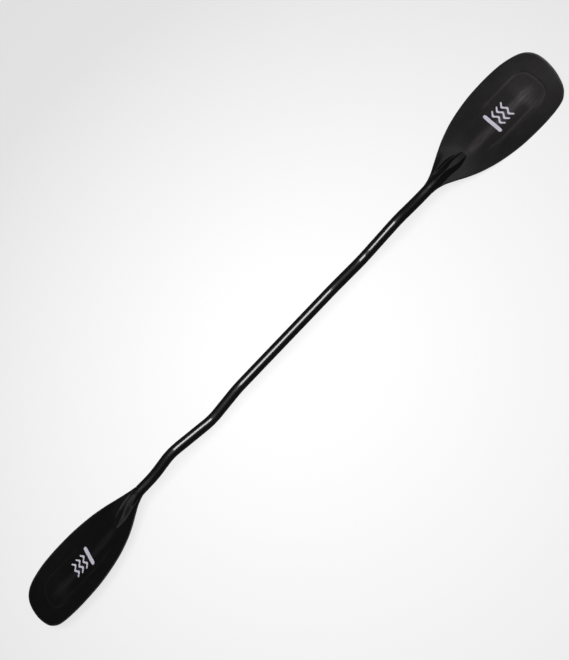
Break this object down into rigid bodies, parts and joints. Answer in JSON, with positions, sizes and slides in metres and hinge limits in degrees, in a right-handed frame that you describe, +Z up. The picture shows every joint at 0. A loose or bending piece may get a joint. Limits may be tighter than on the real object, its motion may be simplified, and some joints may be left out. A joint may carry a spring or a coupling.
{
  "type": "kayak paddle",
  "caption": "Bent-shaft whitewater kayak paddle in carbon: feathered, dished asymmetric blades with a raised neck spear, on a slim crooked shaft.",
  "frame": {"origin": "on the floor under the middle of the paddle's box: the paddle lies with both power faces up, resting on one long edge of each blade; the straight middle of the shaft is centred over X = 0, 2 mm to the -Y side and 59 mm up", "axes": "+X along the straight middle of the shaft towards the right-hand blade, +Y towards the blades' longer (top) edges, +Z up, out of the power faces; the right power face leans 15.4 degrees to -Y and the left one 14.6 degrees to +Y, 30 degrees of feather between them"},
  "size_m": [1.97, 0.2066, 0.0844],
  "materials": {
    "shaft_carbon": "gloss clear resin over near-black wound carbon",
    "blade_carbon": "semi-gloss resin over dark carbon cloth, fine lengthwise streaks",
    "edge_rope": "satin black resin-soaked fibre edge",
    "foam": "closed-cell structural foam, matte",
    "laminate": "sanded carbon laminate, matte",
    "mark": "pale lavender-grey print under resin, semi-gloss"
  },
  "bodies": {
    "root": {"shaft_tube": "shaft_carbon", "right_power_skin": "blade_carbon", "right_back_skin": "blade_carbon", "right_foam_core": "foam", "right_edge_rim": "edge_rope", "right_neck_spigot": "laminate", "right_shaft_plug": "foam", "right_bar_mark": "mark", "right_wave_mark_1": "mark", "right_wave_mark_2": "mark", "right_wave_mark_3": "mark", "left_power_skin": "blade_carbon", "left_back_skin": "blade_carbon", "left_foam_core": "foam", "left_edge_rim": "edge_rope", "left_neck_spigot": "laminate", "left_shaft_plug": "foam", "left_bar_mark": "mark", "left_wave_mark_1": "mark", "left_wave_mark_2": "mark", "left_wave_mark_3": "mark"}
  },
  "joints": []
}
